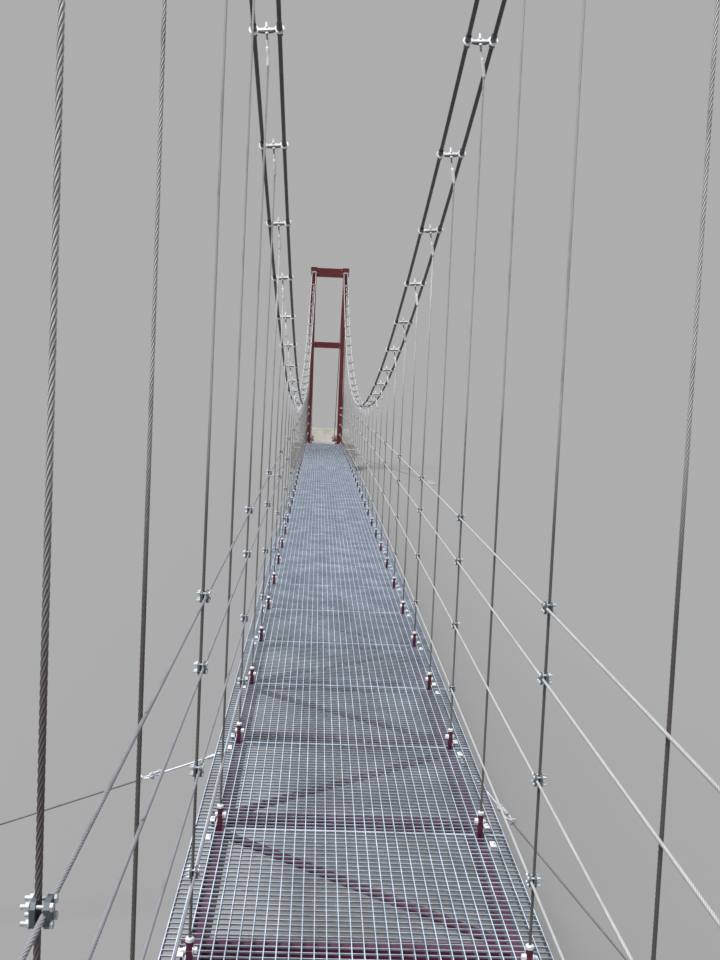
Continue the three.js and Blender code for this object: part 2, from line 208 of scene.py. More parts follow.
class Shape:
    """Vertices and faces of a piece, which grows by boxes, rods, ropes and copies of other shapes. The
    lay of a point on a rope is its direction round the rope and the turns along it, for the material."""

    def __init__(self):
        self.points = []
        self.faces = []
        self.smooth = []
        self.lay = []

    def add(self, points, faces, smooth=False, lay=None):
        start = len(self.points)
        self.points.extend(points)
        self.faces.extend([start + corner for corner in face] for face in faces)
        self.smooth.extend([smooth] * len(faces))
        self.lay.extend(lay or [(1, 0, 0)] * len(points))

    def copy_of(self, other, matrix):
        start = len(self.points)
        self.points.extend(matrix @ point for point in other.points)
        self.faces.extend([start + corner for corner in face] for face in other.faces)
        self.smooth.extend(other.smooth)
        self.lay.extend(other.lay)

    def hexahedron(self, low_end, high_end):
        """A block from four corners at one end to four at the other, both in the same order"""
        sides = [[i, (i + 1) % 4, (i + 1) % 4 + 4, i + 4] for i in range(4)]
        self.add([Vector(p) for p in low_end + high_end], [[3, 2, 1, 0], [4, 5, 6, 7]] + sides)

    def box(self, size, centre):
        x, y, z = centre
        dx, dy, dz = (part / 2 for part in size)
        ring = [(-dx, -dy), (dx, -dy), (dx, dy), (-dx, dy)]
        self.hexahedron([(x + a, y + b, z - dz) for a, b in ring], [(x + a, y + b, z + dz) for a, b in ring])

    def bar(self, start, end, width, height, up=UP):
        """A bar between two points, with its height along up"""
        start, end = Vector(start), Vector(end)
        across = (end - start).cross(up).normalized()
        rise = across.cross(end - start).normalized()
        corners = ((-1, -1), (-1, 1), (1, 1), (1, -1))
        ring = [across * a * width / 2 + rise * b * height / 2 for a, b in corners]
        self.hexahedron([start + corner for corner in ring], [end + corner for corner in ring])

    def prism(self, outline, low_x, high_x):
        """A side view, given as points (y, z), between two places along X"""
        turns = zip(outline, outline[1:] + outline[:1])
        if sum(a[0] * b[1] - b[0] * a[1] for a, b in turns) < 0:
            outline = outline[::-1]
        count = len(outline)
        points = [Vector((x, y, z)) for x in (low_x, high_x) for y, z in outline]
        sides = [[i, (i + 1) % count, (i + 1) % count + count, i + count] for i in range(count)]
        self.add(points, [list(range(count))[::-1], list(range(count, 2 * count))] + sides)

    def turned(self, profile, start, end, sides):
        """A shape turned round the line from start to end, from pairs (place along it, radius)"""
        start, end = Vector(start), Vector(end)
        matrix = frame_turned(start, end - start)
        for (from_z, from_r), (to_z, to_r) in zip(profile, profile[1:]):
            rings = []
            for z, r in ((from_z, from_r), (to_z, to_r)):
                angles = [2 * math.pi * (i + 0.5) / sides for i in range(sides)]
                rings += [matrix @ Vector((r * math.cos(a), r * math.sin(a), z)) for a in angles]
            faces = [[i, (i + 1) % sides, (i + 1) % sides + sides, i + sides] for i in range(sides)]
            self.add(rings, faces, smooth=sides > 6 and from_z != to_z)

    def rod(self, start, end, radius, sides, chamfer=0.0):
        length = (Vector(end) - Vector(start)).length
        if chamfer:
            profile = [(0, 0), (0, radius - chamfer), (chamfer, radius), (length - chamfer, radius)]
            profile += [(length, radius - chamfer), (length, 0)]
        else:
            profile = [(0, 0), (0, radius), (length, radius), (length, 0)]
        self.turned(profile, start, end, sides)

    def pipe(self, start, end, outer, inner, sides):
        length = (Vector(end) - Vector(start)).length
        profile = [(0, inner), (0, outer), (length, outer), (length, inner), (0, inner)]
        self.turned(profile, start, end, sides)

    def rope(self, path, radius, count, strands=False):
        """A rope along points, with that count of corners. With strands every second corner lies in a
        groove and the section twists, or else it is round."""
        lay_length = LAY_PER_DIAMETER * 2 * radius
        points, lay, travelled = [], [], 0.0
        for index, place in enumerate(path):
            before, after = path[max(index - 1, 0)], path[min(index + 1, len(path) - 1)]
            matrix = frame_turned(place, after - before)
            if index:
                travelled += (place - path[index - 1]).length
            turns = travelled / lay_length
            for corner in range(count):
                turn = corner / count + (turns if strands else 0)
                reach = radius * (GROOVE_SHARE if strands and corner % 2 else 1)
                direction = (math.cos(2 * math.pi * turn), math.sin(2 * math.pi * turn))
                points.append(matrix @ Vector((reach * direction[0], reach * direction[1], 0)))
                lay.append((*direction, turns))
        faces = []
        for ring in range(len(path) - 1):
            first = ring * count
            for i in range(count):
                j = (i + 1) % count
                faces.append([first + i, first + j, first + count + j, first + count + i])
        self.add(points, faces, smooth=True, lay=lay)
        caps = [list(range(count))[::-1], [len(points) - count + i for i in range(count)]]
        start = len(self.points) - len(points)
        self.faces.extend([start + corner for corner in cap] for cap in caps)
        self.smooth.extend([False, False])

    def nut(self, base, axis, size, thickness, washer=True):
        """A hexagon nut or head of that size across, with a washer under it"""
        base, axis = Vector(base), Vector(axis).normalized()
        if washer:
            seat = base + axis * thickness * WASHER_THICKNESS
            self.rod(base, seat, size * WASHER_RADIUS, 14)
            base = seat
        self.rod(base, base + axis * thickness, size * NUT_CORNER_RADIUS, 6, thickness * 0.12)

    def stud(self, base, axis, size, thickness, beyond):
        """A nut with the end of its bolt beyond it"""
        self.nut(base, axis, size, thickness)
        base, axis = Vector(base), Vector(axis).normalized()
        length = thickness * (1 + WASHER_THICKNESS) + beyond
        self.rod(base, base + axis * length, size * BOLT_RADIUS, 8, size * 0.05)

    def make(self, name, material, slot, nodes=()):
        """Turns the shape into a piece that rides on the frame and stands for CAD nodes"""
        mesh = bpy.data.meshes.new(name)
        mesh.from_pydata(self.points, [], self.faces)
        mesh.polygons.foreach_set("use_smooth", self.smooth)
        layer = mesh.attributes.new("lay", "FLOAT_VECTOR", "POINT")
        layer.data.foreach_set("vector", [part for vector in self.lay for part in vector])
        mesh.materials.append(material)
        piece = bpy.data.objects.new(name, mesh)
        bpy.context.scene.collection.objects.link(piece)
        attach(piece, "root")
        if nodes:
            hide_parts(*nodes)
        return piece


class Nodes:
    """Short ways to add shader nodes to one material"""

    def __init__(self, name):
        self.material = bpy.data.materials.new(name)
        self.material.use_nodes = True
        self.tree = self.material.node_tree
        self.shader = self.tree.nodes["Principled BSDF"]
        self.place = self.add("TexCoord").outputs["Object"]

    def add(self, kind, inputs=None, **settings):
        node = self.tree.nodes.new("ShaderNode" + kind)
        for key, value in settings.items():
            setattr(node, key, value)
        for key, value in (inputs or {}).items():
            self.put(node.inputs[key], value)
        return node

    def put(self, socket, value):
        if isinstance(value, bpy.types.NodeSocket):
            self.tree.links.new(value, socket)
        else:
            socket.default_value = value

    def finish(self, **values):
        """Puts values into the shader, by the names of its inputs in lower case"""
        for key, value in values.items():
            self.put(self.shader.inputs[key.replace("_", " ").title().replace("Ior", "IOR")], value)
        return self.material

    def stretched(self, x, y, z):
        return self.add("Mapping", {"Vector": self.place, "Scale": (x, y, z)}).outputs["Vector"]

    def noise(self, scale, detail=4.0, roughness=0.55, vector=None):
        inputs = {"Vector": vector or self.place, "Scale": scale, "Detail": detail, "Roughness": roughness}
        return self.add("TexNoise", inputs).outputs[0]

    def ramp(self, factor, low, high, from_value=0.0, to_value=1.0):
        """A smooth step from one value to another while the factor goes from low to high"""
        inputs = {"Value": factor, "From Min": low, "From Max": high}
        inputs |= {"To Min": from_value, "To Max": to_value}
        return self.add("MapRange", inputs, interpolation_type="SMOOTHSTEP").outputs[0]

    def math(self, operation, *values):
        return self.add("Math", dict(enumerate(values)), operation=operation).outputs[0]

    def mix(self, factor, first, second, blend="MIX"):
        node = self.add("Mix", data_type="RGBA", blend_type=blend)
        self.put(node.inputs[0], factor)
        self.put(node.inputs[6], first)
        self.put(node.inputs[7], second)
        return node.outputs[2]

    def bump(self, height, distance, strength):
        inputs = {"Height": height, "Distance": distance, "Strength": strength}
        return self.add("Bump", inputs).outputs["Normal"]

    def parts(self, vector):
        return self.add("SeparateXYZ", {"Vector": vector}).outputs

    def facing_up(self):
        """1 on level faces that look up, 0 on walls"""
        normal = self.add("NewGeometry").outputs["Normal"]
        return self.ramp(self.parts(normal)["Z"], 0.5, 0.95)


# Materials. The brown low down on hanger ropes is painted shade, and the boards are those that the concrete
# was cast in.
LOW_SHADE_BROWN = (0.085, 0.070, 0.064, 1)
BOARD_HEIGHT = 0.075


def red_paint(name, shade, purple, top_dust_and_light=(0.24, 0.16, 0.13, 1)):
    """Red paint that is faded in patches, with dark streaks, a colour on faces that look up and rusty chips.
    That colour is brown dust by default and painted sky light on the deck paint.
    """
    n = Nodes(name)
    faded = n.ramp(n.noise(3.0), 0.4, 0.68)
    fresh = (shade * 0.115, shade * 0.009, purple * 0.019, 1)
    pale = (shade * 0.165, shade * 0.019, purple * 0.032, 1)
    colour = n.mix(faded, fresh, pale)
    streaks = n.ramp(n.noise(1.0, 5.0, 0.65, n.stretched(55, 55, 2.6)), 0.55, 0.78, 0, 0.5)
    colour = n.mix(streaks, colour, (0.085, 0.016, 0.018, 1))
    # Faces that look up take the top colour: real dust, and on the deck paint painted sky light
    top_dust_and_light_mask = n.math("MULTIPLY", n.facing_up(), n.ramp(n.noise(22.0), 0.35, 0.75, 0.1, 0.5))
    colour = n.mix(top_dust_and_light_mask, colour, top_dust_and_light)
    chips = n.ramp(n.noise(70.0, 6.0, 0.7), 0.685, 0.71)
    colour = n.mix(chips, colour, (0.10, 0.036, 0.016, 1))
    rough = n.ramp(n.noise(30.0), 0.3, 0.7, 0.36, 0.6)
    normal = n.bump(n.noise(260.0, 2.0), 0.0006, 0.35)
    return n.finish(base_color=colour, roughness=n.math("MAXIMUM", rough, chips), normal=normal, metallic=0.0)


def galvanised(name, tint, lit_top=1.2, side_shade=None):
    """Zinc with spangles, stains and grime, and brighter where it looks up, which is painted light from
    above. Given a side shade, its sides get darker towards the towers while its tops stay as they are, which
    is painted shade."""
    n = Nodes(name)
    cells = n.add("TexVoronoi", {"Vector": n.place, "Scale": 130.0}).outputs["Color"]
    spangle = n.ramp(n.parts(cells)["X"], 0.0, 1.0, 0.86, 1.1)
    patches = n.ramp(n.noise(9.0), 0.35, 0.7, 0.8, 1.12)
    on_sides = 1.0
    # Sides darker towards the towers: painted shade
    if side_shade:
        on_sides = n.ramp(n.math("ABSOLUTE", n.parts(n.place)["Y"]), 3.2, 6.2, 1.0, side_shade)
    # Faces that look up are brighter: painted light from above
    upward = n.ramp(n.facing_up(), 0.0, 1.0, on_sides, lit_top)
    value = n.math("MULTIPLY", n.math("MULTIPLY", spangle, patches), upward)
    colour = n.add("CombineColor", {i: n.math("MULTIPLY", value, part) for i, part in enumerate(tint)})
    stains = n.ramp(n.noise(45.0, 5.0, 0.65), 0.6, 0.78, 0, 0.45)
    colour = n.mix(stains, colour.outputs[0], tuple(0.5 * part + 0.3 for part in tint) + (1,))
    grime = n.ramp(n.noise(16.0, 5.0, 0.7), 0.58, 0.8, 0, 0.6)
    colour = n.mix(grime, colour, (0.14, 0.13, 0.115, 1))
    rough = n.ramp(n.noise(60.0), 0.3, 0.7, 0.42, 0.62)
    normal = n.bump(n.noise(420.0, 2.0), 0.0004, 0.3)
    return n.finish(base_color=colour, roughness=rough, metallic=0.2, normal=normal)


def wire_rope(name, bright, groove_and_grime, lit_top, low_shade=0.0, relief=0.0009):
    """Six strands, from how far round and along the rope a place is. Their tops are lighter, which is painted
    light from above, and with a low shade they are brown and darker below a height, most of all near the
    towers, which is painted shade."""
    n = Nodes(name)
    upward = n.parts(n.add("NewGeometry").outputs["Normal"])["Z"]
    # Faces that look up are lighter: painted light from above
    bright = n.mix(n.ramp(upward, -0.1, 0.75), bright, lit_top)
    lay = n.parts(n.add("Attribute", attribute_name="lay").outputs["Vector"])
    around = n.math("DIVIDE", n.math("ARCTAN2", lay["Y"], lay["X"]), 2 * math.pi)
    strand = n.math("MULTIPLY", n.math("SUBTRACT", around, lay["Z"]), 6.0)
    crest = n.math("ABSOLUTE", n.math("COSINE", n.math("MULTIPLY", strand, math.pi)))
    wires = n.math("SINE", n.math("MULTIPLY", n.math("ADD", around, n.math("MULTIPLY", lay["Z"], 5.0)), 60.0))
    depth = n.math("POWER", crest, 0.6)
    height = n.math("ADD", depth, n.math("MULTIPLY", wires, 0.04))
    # Darker in the grooves between the strands
    colour = n.mix(n.ramp(depth, 0.25, 0.85), groove_and_grime, bright)
    weather = n.ramp(n.noise(14.0, 5.0, 0.65), 0.45, 0.75, 0, 0.45)
    colour = n.mix(weather, colour, groove_and_grime)
    # Brown and darker below a height, most of all near the towers: painted shade
    if low_shade:
        place = n.parts(n.place)
        low_down = n.ramp(place["Z"], 1.02, 1.27, low_shade, 0.0)
        near_tower = n.ramp(n.math("ABSOLUTE", place["Y"]), 4.5, 7.5, 0.5, 1.0)
        colour = n.mix(n.math("MULTIPLY", low_down, near_tower), colour, LOW_SHADE_BROWN)
    normal = n.bump(height, relief, 0.9)
    rough = n.ramp(n.noise(80.0), 0.3, 0.7, 0.42, 0.62)
    return n.finish(base_color=colour, roughness=rough, metallic=0.25, normal=normal)


def concrete():
    """Concrete with seams between the boards of its mould, streaks, small holes and a damp foot"""
    n = Nodes("concrete")
    place = n.parts(n.place)
    blotches = n.ramp(n.noise(3.5, 6.0, 0.65), 0.3, 0.72)
    colour = n.mix(blotches, (0.30, 0.285, 0.26, 1), (0.46, 0.44, 0.405, 1))
    streaks = n.ramp(n.noise(1.0, 5.0, 0.7, n.stretched(16, 16, 1.1)), 0.54, 0.8, 0, 0.55)
    colour = n.mix(streaks, colour, (0.15, 0.145, 0.13, 1))
    grains = n.ramp(n.noise(300.0, 3.0), 0.3, 0.7, 0.88, 1.1)
    colour = n.mix(1.0, colour, n.add("CombineColor", {i: grains for i in range(3)}).outputs[0], "MULTIPLY")
    board = n.math("FRACT", n.math("MULTIPLY", place["Z"], 1 / BOARD_HEIGHT))
    seam = n.ramp(n.math("ABSOLUTE", n.math("SUBTRACT", board, 0.5)), 0.46, 0.497)
    wall = n.math("SUBTRACT", 1.0, n.facing_up())
    seam = n.math("MULTIPLY", seam, wall)
    colour = n.mix(n.math("MULTIPLY", seam, 0.45), colour, (0.17, 0.165, 0.15, 1))
    damp = n.ramp(place["Z"], 0.0, 0.09, 0.55, 0.0)
    damp = n.math("MULTIPLY", damp, n.ramp(n.noise(11.0), 0.3, 0.7, 0.5, 1.0))
    colour = n.mix(damp, colour, (0.13, 0.13, 0.105, 1))
    holes = n.ramp(n.add("TexVoronoi", {"Vector": n.place, "Scale": 55.0}).outputs["Distance"], 0.06, 0.13)
    height = n.math("SUBTRACT", n.math("ADD", n.noise(120.0, 5.0), n.math("MULTIPLY", holes, 1.2)), seam)
    return n.finish(base_color=colour, roughness=0.88, metallic=0.0, normal=n.bump(height, 0.0016, 0.7))


RED = red_paint("tower_paint", 0.92, 0.6)
# The lug and deck paints are darker copies of the tower paint, which is painted shade; the deck paint's extra
# purple is painted bluish light
DARK_RED = red_paint("shaded_lug_paint", 0.66, 1.35)
DECK_RED = red_paint("shaded_bluish_deck_paint", 0.78, 2.1, (0.15, 0.09, 0.125, 1))
ZINC = galvanised("galvanised", (0.46, 0.49, 0.53))
BRIGHT_ZINC = galvanised("bright_galvanised", (0.90, 0.92, 0.94), 1.05)
# Near-black zinc for the parts under the yokes: painted shade
SHADED_ZINC = galvanised("shaded_galvanised", (0.10, 0.105, 0.115))
PALE_ZINC = galvanised("pale_galvanised", (0.64, 0.67, 0.71))
CLAMP_ZINC = galvanised("clamp_galvanised", (0.115, 0.145, 0.165))
# The grating's tops are brightened, which is painted light, and its sides darken towards the towers, which is
# painted shade
GRATING_ZINC = galvanised("grating_galvanised", (0.445, 0.515, 0.615), 1.55, 0.52)
PALE_GREY = (0.88, 0.885, 0.90, 1)
LIGHT_GREY = (0.72, 0.725, 0.715, 1)
MIDDLE_GREY = (0.35, 0.355, 0.385, 1)
DARK_GREY = (0.20, 0.20, 0.195, 1)
# The left rail ropes are a darker copy of the right ones: painted shade on the left and painted light on the
# right
SHADED_RAIL = (0.17, 0.17, 0.185, 1)
SHADED_RAIL_TOP = (0.40, 0.405, 0.445, 1)
LIT_RAIL = (0.50, 0.515, 0.55, 1)
# The light top colours of the ropes are painted light from above
CABLE_ROPE = wire_rope("cable_rope", (0.085, 0.078, 0.072, 1), (0.020, 0.019, 0.018, 1), PALE_GREY)
HANGER_ROPE = wire_rope("hanger_rope", LIGHT_GREY, (0.14, 0.135, 0.125, 1), LIGHT_GREY, 0.88)
GUY_ROPE = wire_rope("guy_rope", DARK_GREY, (0.08, 0.08, 0.075, 1), (0.30, 0.30, 0.30, 1))
RAIL_ROPES = {
    "left": wire_rope("shaded_left_rail_rope", MIDDLE_GREY, SHADED_RAIL, SHADED_RAIL_TOP, relief=0.0004),
    "right": wire_rope("lit_right_rail_rope", LIT_RAIL, MIDDLE_GREY, LIGHT_GREY, relief=0.0004),
}
CONCRETE = concrete()


def between(a, b, share):
    return Vector(a).lerp(Vector(b), share)


def even_path(start, end, count):
    return [between(start, end, i / count) for i in range(count + 1)]


def even_places(reach, count):
    """Evenly spaced places along the deck, from one end of a rope to the other"""
    return [-reach + 2 * reach * i / count for i in range(count + 1)]


def pair_x(side):
    """Where the two ropes of a cable pair run"""
    return [side * CABLE_HANGER_X + place * PAIR_SPACING for place in (-0.5, 0.5)]


def add_bevel(piece, width, segments=2):
    bevel = piece.modifiers.new("edges", "BEVEL")
    bevel.width = width
    bevel.segments = segments
    bevel.limit_method = "ANGLE"
    bevel.harden_normals = False


# Main cables and backstays

def cable_nodes(side_name):
    return [f"main_cables_{side_name}_{length}" for length in LENGTHS]


def backstay_point(x, end, before_face):
    """A place on the line from the saddle to the anchor block, measured from the block's face"""
    rise = cable_z(TOWER_Y) - ANCHOR_Z
    length = math.hypot(BACKSTAY_RUN, rise)
    y = TOWER_Y + BACKSTAY_RUN - BACKSTAY_RUN / length * before_face
    return Vector((x, end * y, ANCHOR_Z + rise / length * before_face))


def add_main_cables(side_name, side):
    shape = Shape()
    for x in pair_x(side):
        path = [Vector((x, y, cable_z(y))) for y in even_places(TOWER_Y, CABLE_STEPS)]
        shape.rope(path, CABLE_RADIUS, 14)
    shape.make(f"cable_ropes_{side_name}", CABLE_ROPE, "steel_rope", cable_nodes(side_name))


def add_backstays(end_name, end, side_name, side):
    """Two ropes with long sockets and screwed rods, and the plate on the block that holds both"""
    node = f"backstay_{end_name}_{side_name}"
    ropes, fittings, plate = Shape(), Shape(), Shape()
    width, height, thickness = ANCHOR_PLATE
    stay_length = (backstay_point(0, end, 0) - Vector((0, end * TOWER_Y, cable_z(TOWER_Y)))).length
    down = backstay_point(0, end, 0) - backstay_point(0, end, 1)
    socket = [(0, 0.0062), (0, 0.0085), (0.012, 0.0095), (0.09, 0.0125), (0.15, 0.0135), (0.16, 0.012)]
    socket += [(0.16, 0)]
    for x in pair_x(side):
        rope_top = backstay_point(x, end, stay_length - 0.003)
        rope_end = backstay_point(x, end, STAY_SOCKET_TOP - 0.02)
        socket_top = backstay_point(x, end, STAY_SOCKET_TOP)
        socket_end = backstay_point(x, end, STAY_SOCKET_END)
        ropes.rope(even_path(rope_top, rope_end, 120), CABLE_RADIUS, 14)
        fittings.turned(socket, socket_top, socket_end, 18)
        fittings.rod(socket_end, backstay_point(x, end, 0.01), 0.008, 16)
        for place in STAY_LOCK_NUTS:
            fittings.nut(backstay_point(x, end, place), down, STAY_NUT_SIZE, 0.013, washer=False)
        for gap, washer in ((0.004, True), (0.018, False)):
            seat = backstay_point(x, end, thickness + gap)
            fittings.nut(seat, -down, STAY_NUT_SIZE, 0.012, washer)
    middle = side * CABLE_HANGER_X
    plate_face = backstay_point(middle, end, thickness)
    up = Vector((1, 0, 0)).cross(down)
    plate.bar(plate_face, backstay_point(middle, end, 0.0005), width, height, up)
    for a, b in CORNERS:
        across = Vector((a * (width / 2 - ANCHOR_BOLT_FROM_EDGE), 0, 0))
        rise = up.normalized() * b * (height / 2 - ANCHOR_BOLT_FROM_EDGE)
        fittings.stud(plate_face + across + rise, -down, 0.016, 0.008, 0.008)
    ropes.make(f"backstay_ropes_{end_name}_{side_name}", CABLE_ROPE, "steel_rope", [node])
    fittings.make(f"backstay_fittings_{end_name}_{side_name}", ZINC, "galvanised", [node])
    made = plate.make(f"anchor_plate_{end_name}_{side_name}", RED, "red_paint", [node])
    add_bevel(made, 0.0015)


# Hangers: a yoke on the cable pair, a socket, a rope, and a red lug that stands on the deck frame

def across_plate(right_half, length):
    """A plate with a symmetric outline across the ropes, given as points (x, z), and a length along them"""
    plate, turned = Shape(), Shape()
    plate.prism(right_half + [(-x, z) for x, z in reversed(right_half)], -length / 2, length / 2)
    turned.copy_of(plate, Matrix.Rotation(-math.pi / 2, 4, "Z"))
    return turned


def yoke_shapes():
    """The bright parts of a yoke and its near-black parts, which are painted shade, with X across the pair, Y
    along the cables and Z up
    """
    bright, shaded = Shape(), Shape()
    half, thin = YOKE_LENGTH / 2, 0.0044
    for place in (-0.5, 0.5):
        x = place * PAIR_SPACING
        # Near-black sleeves, keeper and stem stand for the shade under the yoke: painted shade
        shaded.pipe((x, -half, 0), (x, half, 0), 0.0068, CABLE_RADIUS, 18)
        bright.pipe((x, -thin / 2, 0), (x, thin / 2, 0), 0.0112, 0.0067, 20)
    strap = [(0.0040, 0.0046), (0.0070, 0.0034), (0.0130, 0.0026), (0.0195, 0.0042)]
    strap += [(0.0195, -0.0022), (0.0130, -0.0030), (0.0065, -0.0022)]
    keeper = [(0.0188, -0.0032), (0.0192, -0.0050), (0.0130, -0.0072), (0.0050, -0.0080)]
    bright.copy_of(across_plate(strap, thin - 0.0006), Matrix())
    shaded.copy_of(across_plate(keeper, thin + 0.0026), Matrix())
    bright.nut((0, 0, 0.0046), UP, 0.0064, 0.0056)
    bright.rod((0, 0, 0.0046), (0, 0, 0.0182), 0.0025, 10, 0.0005)
    bright.rod((0, 0, -0.0080), (0, 0, -0.0120), 0.0044, 12, 0.0006)
    shaded.rod((0, 0, -0.0120), (0, 0, -SOCKET_TOP - 0.002), 0.0022, 10)
    return bright, shaded


def lug_shape():
    """The red body of a lug, from the deck frame up, with its origin at the top of the grating"""
    shape = Shape()
    top = LUG_HEIGHT - 0.0060
    shape.rod((0, 0, top - 0.0150), (0, 0, top), 0.0058, 16, 0.0010)
    shape.box((0.0095, 0.0118, 0.0230), (0, 0, top - 0.0235))
    shape.box((0.0076, 0.0106, top), (0, 0, (top - 0.0270) / 2))
    return shape


def lug_pin_shape(side):
    """The cap on a lug and its pin, with the pin's head on the side of the walkway"""
    shape = Shape()
    top = LUG_HEIGHT
    shape.turned([(0, 0), (0, 0.0064), (0.0046, 0.0064), (0.0060, 0.0050), (0.0060, 0)],
                 (0, 0, top - 0.0060), (0, 0, top), 18)
    for direction, head, reach in ((-side, 0.0094, 0.0052), (side, 0.0074, 0.0034)):
        pin_z = top - 0.0195
        shape.rod((direction * 0.0047, 0, pin_z), (direction * 0.0062, 0, pin_z), 0.0066, 16)
        shape.nut((direction * 0.0062, 0, pin_z), (direction, 0, 0), head, reach, washer=False)
    return shape


def hanger_ends(side, y):
    """The middle of a yoke, the lower end of its socket and the top of its lug"""
    head = Vector((side * CABLE_HANGER_X, y, cable_z(y)))
    foot = Vector((side * DECK_HANGER_X, y, deck_top(y) + LUG_HEIGHT - 0.003))
    return head, head + Vector((SOCKET_DRIFTS[side], 0, -SOCKET_END)), foot


def add_hangers(side_name, side):
    nodes = cable_nodes(side_name)
    yokes, keepers, sockets, pins, lugs = (Shape() for _ in range(5))
    stranded, plain = Shape(), Shape()
    bright_yoke, shaded_yoke = yoke_shapes()
    lug, lug_pins = lug_shape(), lug_pin_shape(side)
    thin, thick = 0.0029, 0.0043
    profile = [(SOCKET_TOP, 0), (SOCKET_TOP, thin), (SOCKET_WAIST, thin), (SOCKET_WAIST + 0.003, thick),
               (SOCKET_END - 0.003, thick), (SOCKET_END, thick * 0.75), (SOCKET_END, 0)]
    for station in STATIONS:
        y = station_y(station)
        head, rope_top, foot = hanger_ends(side, y)
        roll = Matrix.Rotation(-YOKE_ROLL + random.uniform(-0.02, 0.02), 4, "Y")
        place = Matrix.Translation(head) @ roll @ Matrix.Rotation(cable_slope(y), 4, "X")
        yokes.copy_of(bright_yoke, place)
        keepers.copy_of(shaded_yoke, place)
        sockets.turned(profile, head, rope_top, 14)
        rope_start = between(rope_top, head, 0.04)
        length = (foot - rope_start).length
        if station <= LAST_STRANDED_STATION:
            steps = int(STEPS_PER_LAY * length / (LAY_PER_DIAMETER * 2 * HANGER_RADIUS))
            path = even_path(rope_start, foot, steps)
            stranded.rope(path, HANGER_RADIUS, STRANDED_CORNERS, strands=True)
        else:
            steps = max(4, int(length / PLAIN_STEP))
            plain.rope(even_path(rope_start, foot, steps), HANGER_RADIUS, 10)
        turn = Matrix.Rotation(random.uniform(-0.12, 0.12), 4, "Z")
        base = Matrix.Translation((side * DECK_HANGER_X, y, deck_top(y)))
        lugs.copy_of(lug, base)
        pins.copy_of(lug_pins, base @ turn)
    yokes.make(f"yokes_{side_name}", BRIGHT_ZINC, "galvanised", nodes)
    keepers.make(f"yoke_keepers_{side_name}", SHADED_ZINC, "galvanised", nodes)
    sockets.make(f"hanger_sockets_{side_name}", BRIGHT_ZINC, "galvanised", nodes)
    stranded.make(f"stranded_hangers_{side_name}", HANGER_ROPE, "steel_rope", nodes)
    plain.make(f"hangers_{side_name}", HANGER_ROPE, "steel_rope", nodes)
    pins.make(f"lug_pins_{side_name}", BRIGHT_ZINC, "galvanised", nodes)
    add_bevel(lugs.make(f"lugs_{side_name}", DARK_RED, "red_paint", nodes), 0.0008, 1)


# Handrail ropes and their cross clamps

def rail_place(side, y, above_deck):
    x = hanger_x(side, y, above_deck) - side * RAIL_FROM_HANGER
    return Vector((x, y, deck_top(y) + above_deck))


def clamp_shapes(side):
    """The plates of a clamp on the two ropes, and its four bolts, with their origin on the rail"""
    plates, bolts = Shape(), Shape()
    inner, outer = 0.0, RAIL_FROM_HANGER
    plate, bolt_reach = 0.0034, 0.0052
    corners = [(0.0083, 0.0050), (0.0050, 0.0083), (-0.0050, 0.0083), (-0.0083, 0.0050)]
    octagon = corners + [(-y, -z) for y, z in corners]
    for x in (inner - plate, outer):
        plates.prism(octagon, *sorted((side * x, side * (x + plate))))
    for a, b in CORNERS:
        y, z = a * bolt_reach, b * bolt_reach
        bolts.nut((side * (inner - plate), y, z), (-side, 0, 0), 0.0050, 0.0022, washer=False)
        bolts.rod((side * inner, y, z), (side * outer, y, z), 0.0012, 8)
        bolts.stud((side * (outer + plate), y, z), (side, 0, 0), 0.0048, 0.0020, 0.0032)
    return plates, bolts


def add_rails(side_name, side):
    clamps, bolts, ends = Shape(), Shape(), Shape()
    clamp, clamp_bolts = clamp_shapes(side)
    nodes = [f"handrail_{rail}_{side_name}" for rail in RAIL_HEIGHTS]
    for rail, above in RAIL_HEIGHTS.items():
        rope = Shape()
        path = [rail_place(side, y, above) for y in even_places(RAIL_END_Y, RAIL_STEPS)]
        rope.rope(path, RAIL_RADIUS, 10)
        node = f"handrail_{rail}_{side_name}"
        rope.make(f"rail_rope_{rail}_{side_name}", RAIL_ROPES[side_name], "steel_rope", [node])
        for station in STATIONS:
            if station % 2 == 0:
                place = rail_place(side, station_y(station), above)
                tilt = Matrix.Rotation(random.uniform(-0.08, 0.08), 4, "X")
                clamps.copy_of(clamp, Matrix.Translation(place) @ tilt)
                bolts.copy_of(clamp_bolts, Matrix.Translation(place) @ tilt)
        for end in ENDS.values():
            add_rail_end(ends, side, end, above)
    clamps.make(f"rail_clamps_{side_name}", CLAMP_ZINC, "galvanised", nodes)
    bolts.make(f"rail_clamp_bolts_{side_name}", PALE_ZINC, "galvanised", nodes)
    ends.make(f"rail_ends_{side_name}", ZINC, "galvanised", nodes)


def add_rail_end(shape, side, end, above):
    """A swaged eye, a bolt and a lug on the face of the tower post"""
    rope_end = rail_place(side, end * RAIL_END_Y, above)
    face = rail_place(side, end * POST_FACE_Y, above)
    outward = Vector((0, end, 0))
    shape.rod(rope_end - outward * 0.030, rope_end, RAIL_RADIUS * 1.7, 12, 0.0005)
    shape.rod(rope_end, face - outward * 0.012, 0.0026, 10)
    shape.nut(face - outward * 0.030, -outward, 0.0075, 0.004, washer=False)
    shape.box((0.022, 0.0024, 0.026), face - outward * 0.0014)
    shape.box((0.0035, 0.018, 0.016), face - outward * 0.011)


# Deck

def panel_line(from_y, to_y, y):
    """The height of a straight panel's top at a place between its two ends"""
    share = (y - from_y) / (to_y - from_y)
    return (1 - share) * deck_top(from_y) + share * deck_top(to_y)


def panel_edges():
    return [-DECK_END_Y] + [station_y(station) for station in STATIONS] + [DECK_END_Y]


